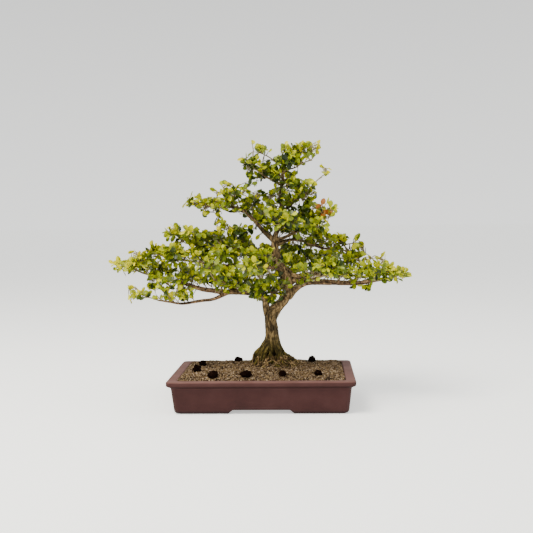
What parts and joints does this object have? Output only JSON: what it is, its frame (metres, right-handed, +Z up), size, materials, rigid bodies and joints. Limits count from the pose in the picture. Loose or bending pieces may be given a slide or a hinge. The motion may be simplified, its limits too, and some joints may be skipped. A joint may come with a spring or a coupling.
{
  "type": "boxwood bonsai in a clay tray",
  "caption": "Small trained boxwood tree with a flared root base, spreading tiers of leafy twigs and a slim tapering top, in a shallow rectangular unglazed clay tray of soil.",
  "frame": {"origin": "middle of the tray's underside, on the surface that the tray stands on", "axes": "+X to the viewer's right along the tray's long side, +Y away from the viewer, +Z up"},
  "size_m": [0.5049, 0.2934, 0.441],
  "materials": {
    "clay": "matte",
    "soil_grains": "matte",
    "bark": "matte",
    "leaves": "satin",
    "pressed_meal": "matte"
  },
  "bodies": {
    "root": {"fertiliser_cake_1": "pressed_meal", "fertiliser_cake_2": "pressed_meal", "fertiliser_cake_3": "pressed_meal", "fertiliser_cake_4": "pressed_meal", "fertiliser_cake_5": "pressed_meal", "fertiliser_cake_6": "pressed_meal", "fertiliser_cake_7": "pressed_meal", "fertiliser_cake_8": "pressed_meal", "pot": "clay", "soil": "soil_grains", "spray_apex_1": "leaves", "spray_apex_2": "leaves", "spray_apex_right_1": "leaves", "spray_back_1": "leaves", "spray_back_2": "leaves", "spray_back_high_1": "leaves", "spray_back_left_1": "leaves", "spray_back_left_2": "leaves", "spray_back_right_1": "leaves", "spray_front_1": "leaves", "spray_front_2": "leaves", "spray_front_high_1": "leaves", "spray_front_left_1": "leaves", "spray_front_left_2": "leaves", "spray_front_low_1": "leaves", "spray_left_hanging_1": "leaves", "spray_left_hanging_2": "leaves", "spray_left_low_1": "leaves", "spray_left_low_2": "leaves", "spray_left_low_3": "leaves", "spray_left_low_4": "leaves", "spray_left_middle_1": "leaves", "spray_left_middle_2": "leaves", "spray_left_middle_3": "leaves", "spray_left_middle_4": "leaves", "spray_left_shelf_1": "leaves", "spray_left_shelf_2": "leaves", "spray_left_shelf_3": "leaves", "spray_left_shelf_4": "leaves", "spray_left_upper_1": "leaves", "spray_left_upper_2": "leaves", "spray_left_upper_3": "leaves", "spray_left_upper_4": "leaves", "spray_right_front_1": "leaves", "spray_right_low_1": "leaves", "spray_right_low_2": "leaves", "spray_right_low_3": "leaves", "spray_right_low_4": "leaves", "spray_right_middle_1": "leaves", "spray_right_middle_2": "leaves", "spray_right_middle_3": "leaves", "spray_right_second_1": "leaves", "spray_right_shoulder_1": "leaves", "spray_right_shoulder_2": "leaves", "spray_right_top_1": "leaves", "spray_right_top_2": "leaves", "spray_top_left_1": "leaves", "spray_top_left_2": "leaves", "spray_top_left_twig_1": "leaves", "trunk_and_limbs": "bark"}
  },
  "joints": []
}
